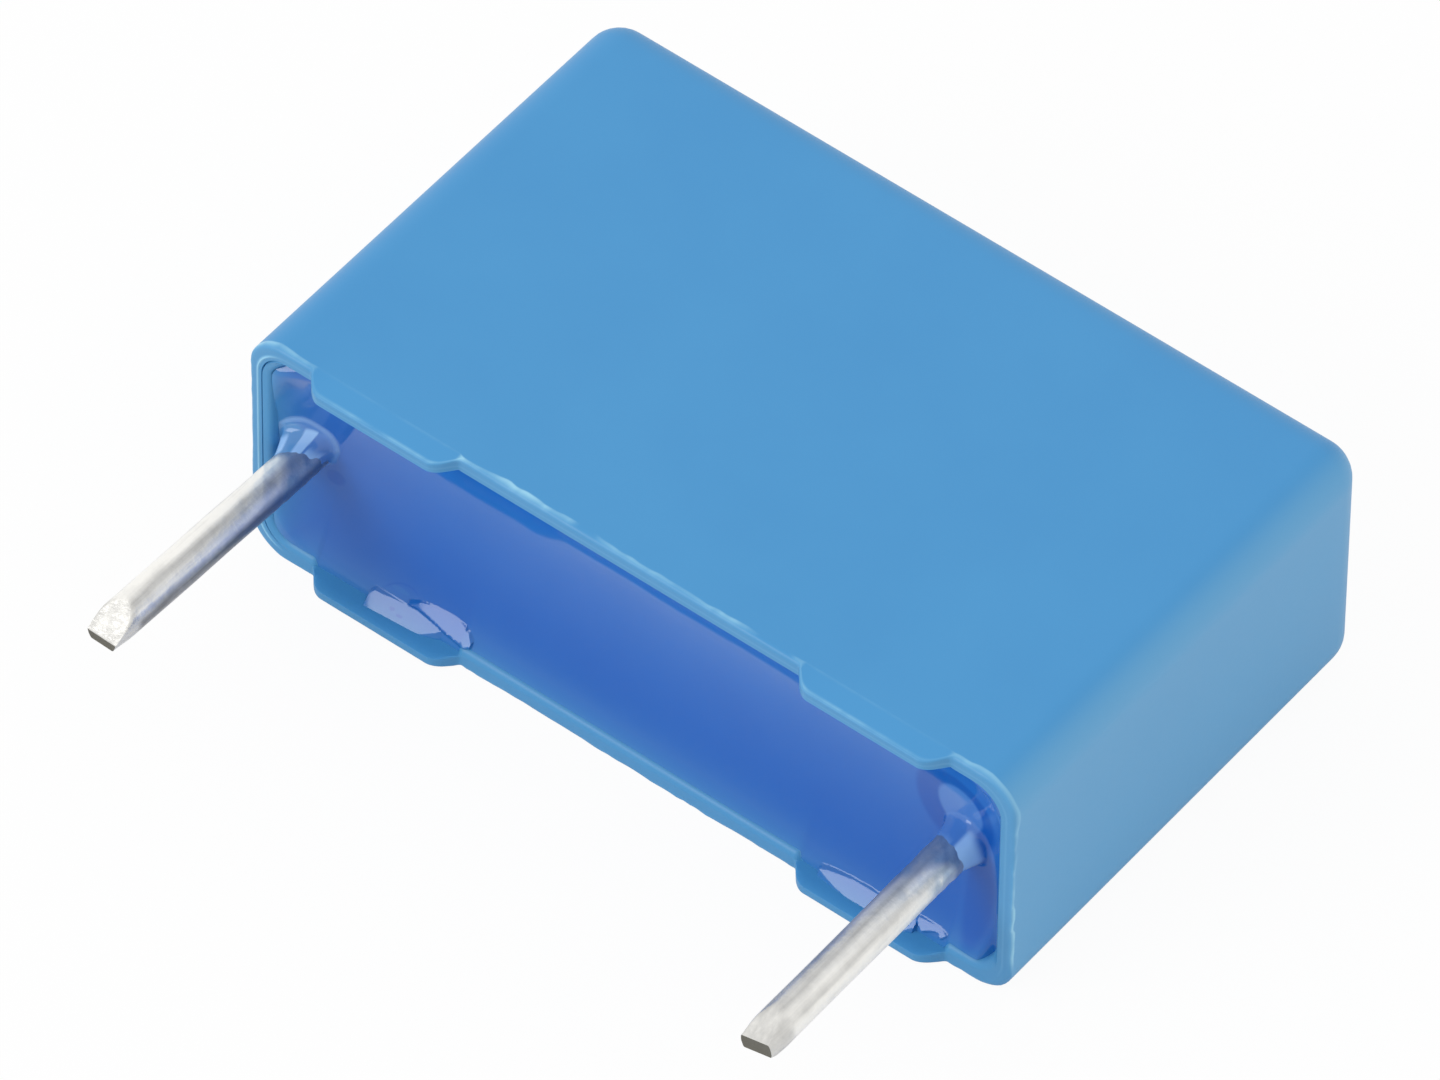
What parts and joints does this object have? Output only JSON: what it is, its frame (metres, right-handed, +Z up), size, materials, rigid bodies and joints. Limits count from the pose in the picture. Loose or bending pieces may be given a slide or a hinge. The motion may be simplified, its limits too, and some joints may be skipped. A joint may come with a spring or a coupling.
{
  "type": "film capacitor",
  "caption": "Box-type film capacitor: rectangular moulded plastic case with stand-off feet, potted with resin, and straight tinned wire leads for a circuit board.",
  "frame": {"origin": "centre of the broad face of the case that the part lies on", "axes": "+X from the left lead to the right lead, +Y from the leads to the closed top of the case, +Z up through the case's thickness"},
  "size_m": [0.0176, 0.0161, 0.0058],
  "materials": {
    "case_plastic": "smooth moulded plastic, semi-gloss",
    "potting_resin": "cast resin, glossy",
    "metallised_film": "metallised film",
    "sprayed_metal": "sprayed metal, rough",
    "tinned_wire": "tinned, bright"
  },
  "bodies": {
    "root": {"case": "case_plastic", "resin_fill": "potting_resin", "film_winding": "metallised_film", "end_contact_left": "sprayed_metal", "end_contact_right": "sprayed_metal", "lead_left": "tinned_wire", "lead_right": "tinned_wire"}
  },
  "joints": []
}
